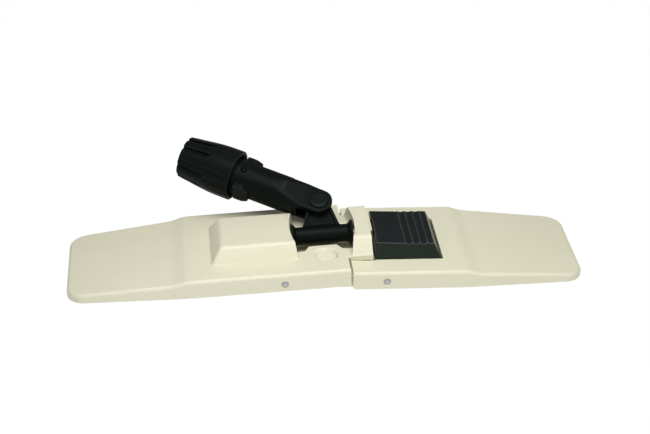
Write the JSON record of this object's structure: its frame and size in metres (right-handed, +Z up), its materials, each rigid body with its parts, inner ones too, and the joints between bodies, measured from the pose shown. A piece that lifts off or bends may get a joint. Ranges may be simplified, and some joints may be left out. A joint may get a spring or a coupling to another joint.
{
  "type": "folding flat mop frame",
  "caption": "Folding flat mop frame with two tapered wings, a foot pedal that releases the fold, and a swivelling, tilting socket with a screw clamp for a pole.",
  "frame": {"origin": "on the resting surface, under the middle of the whole model's box at rest", "axes": "+X along the frame from the rod-housing wing to the pedal wing, +Y to the back edge that the pole leans over, +Z up"},
  "size_m": [0.3998, 0.1452, 0.0779],
  "materials": {
    "cream_plastic": "cream moulded ABS, satin, faint mould texture and flow lines",
    "black_plastic": "black moulded nylon, satin, fine grain",
    "nut_plastic": "black moulded nylon, satin, ribbed grip",
    "pedal_plastic": "black moulded plastic, satin with glossier slopes",
    "cap_plastic": "black plastic button, slightly polished",
    "collet_plastic": "dark grey acetal, smooth",
    "washer_plastic": "dark grey nylon, smooth",
    "zinc_steel": "zinc-plated steel, fine drawn lines",
    "spring_steel": "drawn spring wire"
  },
  "bodies": {
    "left_half": {"left_wing": "cream_plastic", "fold_pin": "zinc_steel", "swivel_rod": "zinc_steel", "rod_clip": "zinc_steel"},
    "right_half": {"right_wing": "cream_plastic", "pedal_pin": "zinc_steel", "pedal_spring": "spring_steel"},
    "pedal": {"pedal": "pedal_plastic"},
    "yoke": {"swivel_yoke": "black_plastic"},
    "pole_holder": {"pole_socket": "black_plastic", "pivot_pin": "zinc_steel", "pivot_cap_front": "cap_plastic", "pivot_cap_rear": "cap_plastic", "pivot_washer_front": "washer_plastic", "pivot_washer_rear": "washer_plastic", "locating_peg": "black_plastic"},
    "clamp_collet": {"collet": "collet_plastic"},
    "nut": {"clamp_nut": "nut_plastic"}
  },
  "joints": [
    {"name": "fold", "type": "hinge", "parent": "left_half", "child": "right_half", "pos_m": [-0.0333, -0.0173, 0.01263], "axis": [0, 1, 0], "range_deg": [0, 90]},
    {"name": "pedal_press", "type": "hinge", "parent": "right_half", "child": "pedal", "pos_m": [0.04497, -0.0173, 0.01118], "axis": [0, 1, 0], "range_deg": [0, 8], "stiffness_Nm_per_rad": 1.5, "springref_deg": -11.46},
    {"name": "swivel", "type": "hinge", "parent": "left_half", "child": "yoke", "pos_m": [-0.00046, -0.0173, 0.02502], "axis": [0.9992, 0, 0.0391], "range_deg": [0, 123]},
    {"name": "tilt", "type": "hinge", "parent": "yoke", "child": "pole_holder", "pos_m": [-0.00096, 0.00636, 0.03781], "axis": [0.0344, 0.4758, -0.8789], "range_deg": [0, 116]},
    {"name": "collet_slide", "type": "slide", "parent": "pole_holder", "child": "clamp_collet", "axis": [-0.8783, 0.4339, 0.2005], "range_m": [0, 0.00225]},
    {"name": "nut_turn", "type": "hinge", "parent": "clamp_collet", "child": "nut", "pos_m": [-0.08441, 0.04758, 0.05686], "axis": [-0.8783, 0.4339, 0.2005], "range_deg": [0, 270]}
  ],
  "couplings": [
    {"joint": "nut_turn", "follows": "collet_slide", "rad_per_m": 2094.4}
  ]
}
